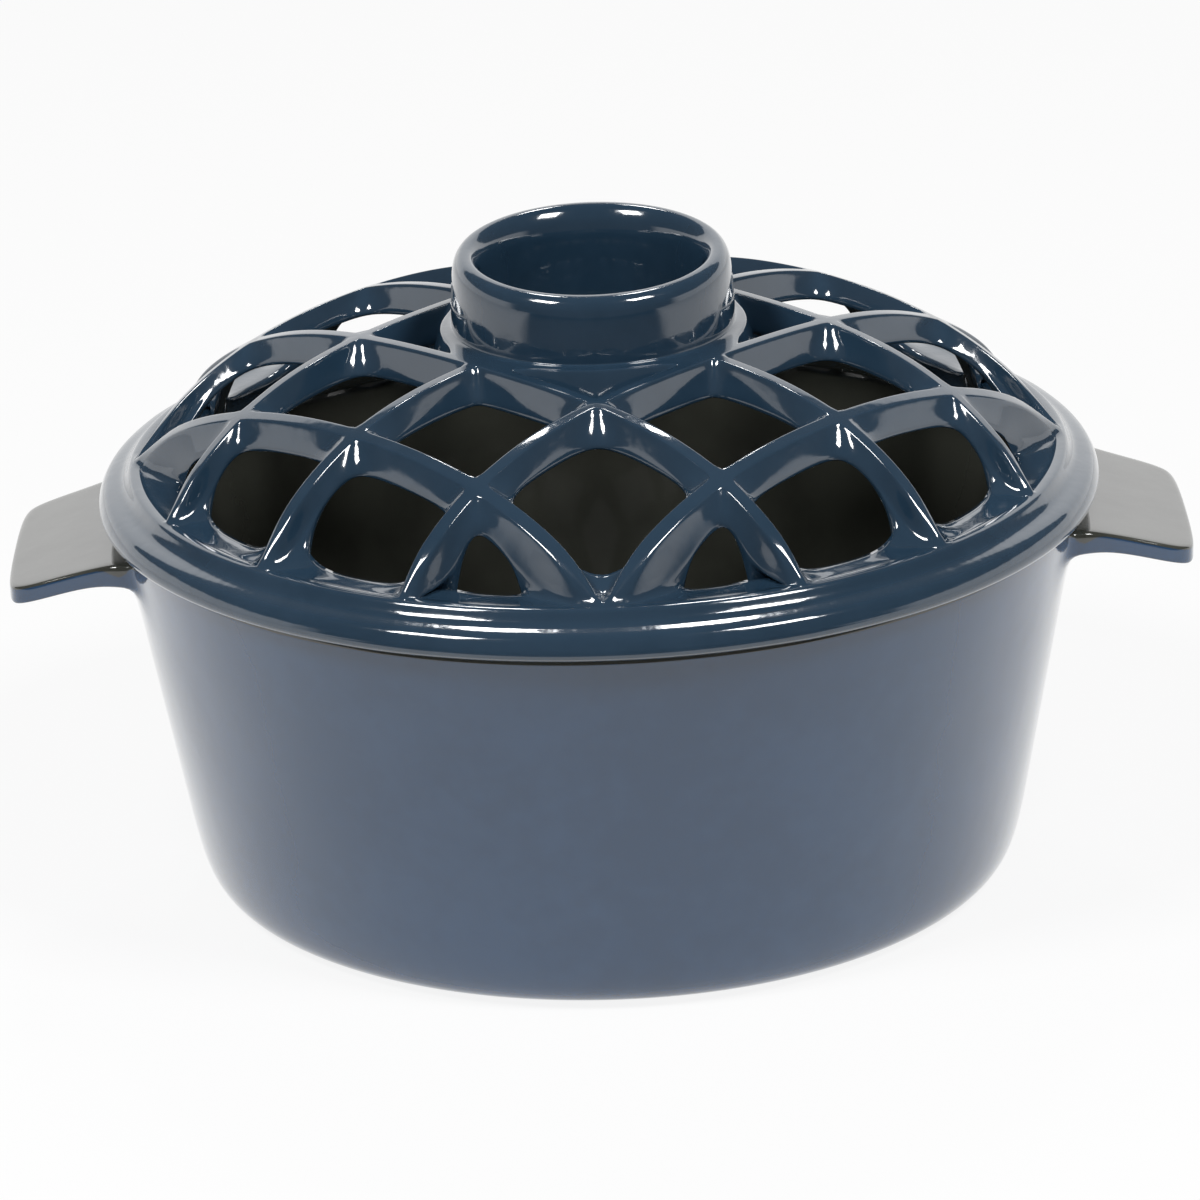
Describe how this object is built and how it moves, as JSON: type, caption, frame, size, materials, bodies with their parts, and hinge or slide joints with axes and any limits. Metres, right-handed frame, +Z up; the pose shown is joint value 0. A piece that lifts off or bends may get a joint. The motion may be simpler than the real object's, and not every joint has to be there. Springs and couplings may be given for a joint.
{
  "type": "stove-top steamer pot",
  "caption": "Round enamelled cast-iron stove-top steamer: a tapered pot with ear handles under a lift-off domed lattice lid with an open collar.",
  "frame": {"origin": "middle of the pot's flat base, where it stands on the stove", "axes": "+Z up through the collar, +X along the line from ear to ear, +Y away from the viewer"},
  "size_m": [0.2874, 0.2442, 0.1591],
  "materials": {
    "pot_enamel": "gloss porcelain enamel fused to cast iron: navy outside, black inside, on the rim and on the ears' upper faces",
    "lid_enamel": "gloss navy porcelain enamel fused to cast iron"
  },
  "bodies": {
    "pot": {"pot": "pot_enamel"},
    "lid": {"lattice_lid": "lid_enamel"}
  },
  "joints": [
    {"name": "lid_lift", "type": "slide", "parent": "pot", "child": "lid", "axis": [0, 0, 1], "range_m": [0, 0.12]}
  ]
}
